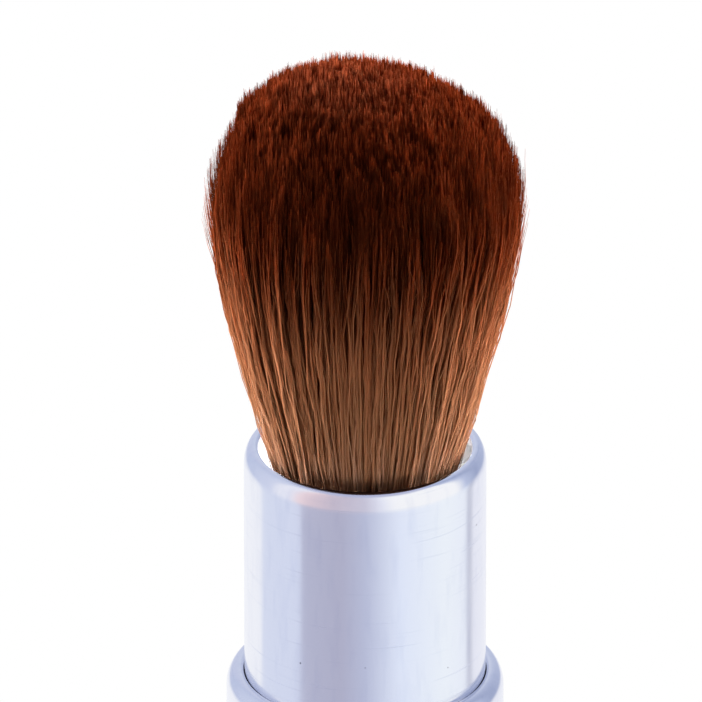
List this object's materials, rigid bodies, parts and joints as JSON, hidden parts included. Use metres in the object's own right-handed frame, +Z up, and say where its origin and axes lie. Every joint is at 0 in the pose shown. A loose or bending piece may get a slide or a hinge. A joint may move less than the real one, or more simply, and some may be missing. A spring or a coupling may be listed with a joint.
{
  "type": "retractable kabuki brush",
  "caption": "Retractable kabuki powder brush with a dense rounded hair head in an aluminium sleeve that slides out of a round barrel to cover the hair.",
  "frame": {"origin": "centre of the base disc's underside, on the floor", "axes": "+Z up along the brush axis from the base to the hair"},
  "size_m": [0.032, 0.0318, 0.1263],
  "materials": {
    "barrel_metal": "bright, finely turned",
    "sleeve_metal": "bright, finely turned",
    "disc_metal": "satin",
    "ferrule_metal": "drawn, plain",
    "screw_steel": "zinc plated",
    "dark_plastic": "moulded",
    "white_plastic": "moulded",
    "resin": "cast",
    "hair": "dyed synthetic hair, dark red brown over light brown",
    "ring_rubber": "matt"
  },
  "bodies": {
    "barrel_body": {"outer_barrel": "barrel_metal", "barrel_liner": "dark_plastic", "guide_bush": "white_plastic", "base_plug": "dark_plastic", "base_disc": "disc_metal", "post_screw": "screw_steel", "core_post": "white_plastic", "ferrule": "ferrule_metal", "potting": "resin", "bristles": "hair"},
    "sleeve_body": {"sleeve": "sleeve_metal", "sleeve_liner": "white_plastic", "slider_ring": "white_plastic", "friction_ring": "ring_rubber"}
  },
  "joints": [
    {"name": "sleeve_slide", "type": "slide", "parent": "barrel_body", "child": "sleeve_body", "axis": [0, 0, 1], "range_m": [0, 0.043], "deforming": ["bristles"]}
  ]
}
